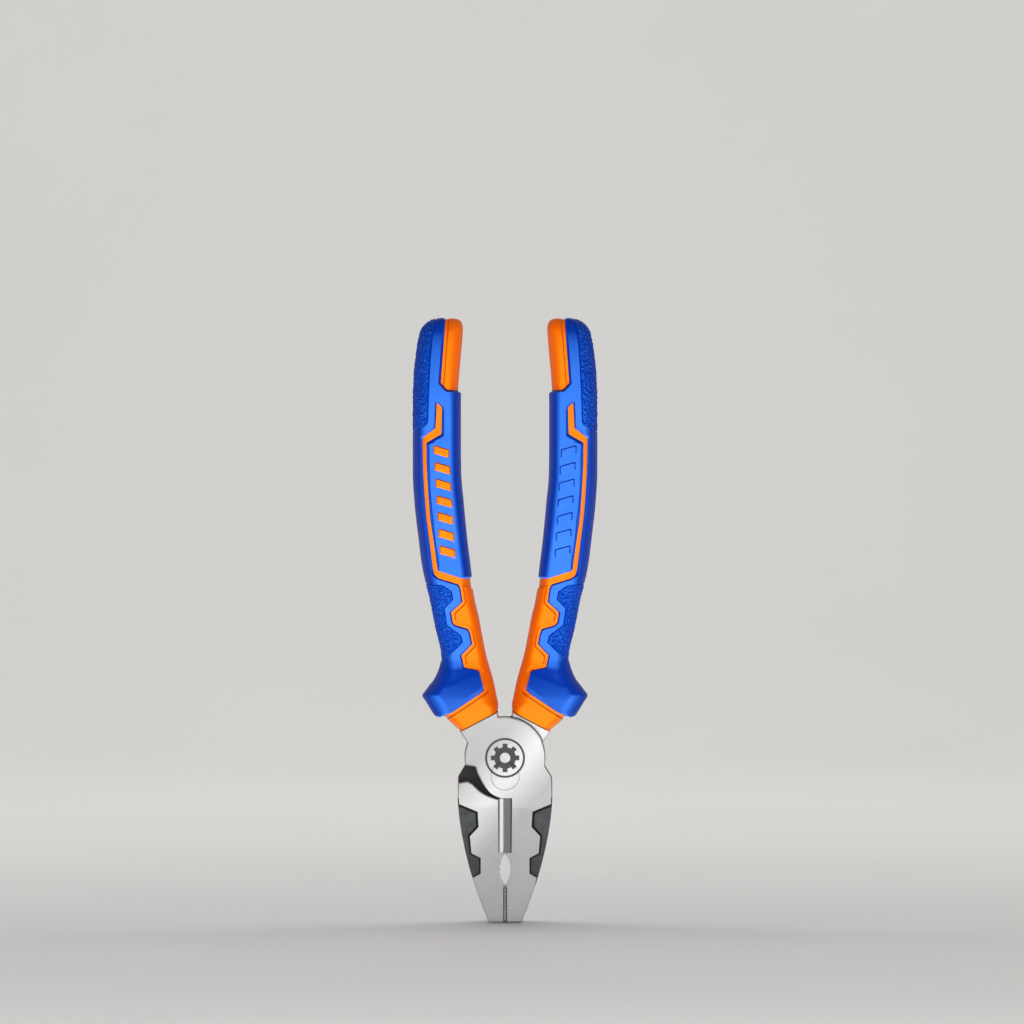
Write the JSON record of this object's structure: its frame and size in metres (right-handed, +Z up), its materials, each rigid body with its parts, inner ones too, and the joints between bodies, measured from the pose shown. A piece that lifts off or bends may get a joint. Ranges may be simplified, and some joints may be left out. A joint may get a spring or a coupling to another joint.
{
  "type": "lineman pliers",
  "caption": "Lineman pliers with serrated flat jaws, pipe grip and side cutter on a riveted lap joint, and two-colour moulded grips with guards.",
  "frame": {"origin": "middle of the closed jaw tips, on the surface that the tool stands on", "axes": "+Z up along the tool from the jaw tips to the handle ends, +X to the right, the front faces -Y"},
  "size_m": [0.0616, 0.019, 0.2],
  "materials": {
    "lever_steel": "satin ground and polished forged steel",
    "rivet_steel": "ground flush",
    "grip_core": "hard moulded sleeve, hidden",
    "grip_blue": "satin thermoplastic rubber",
    "grip_texture": "fine-grained thermoplastic rubber",
    "grip_orange": "satin thermoplastic rubber"
  },
  "bodies": {
    "right_half": {"rear_lever": "lever_steel", "pivot_rivet": "rivet_steel", "right_grip_core": "grip_core", "right_grip_body": "grip_blue", "right_grip_overmould": "grip_orange", "right_end_panel": "grip_orange", "right_thumb_pad": "grip_texture", "right_finger_pad": "grip_texture", "right_grip_inlay": "grip_orange"},
    "left_half": {"front_lever": "lever_steel", "left_grip_core": "grip_core", "left_grip_body": "grip_blue", "left_grip_overmould": "grip_orange", "left_end_panel": "grip_orange", "left_thumb_pad": "grip_texture", "left_finger_pad": "grip_texture", "left_grip_inlay": "grip_orange"}
  },
  "joints": [
    {"name": "jaw_pivot", "type": "hinge", "parent": "right_half", "child": "left_half", "pos_m": [0, 0, 0.0485], "axis": [0, -1, 0], "range_deg": [0, 23]}
  ]
}
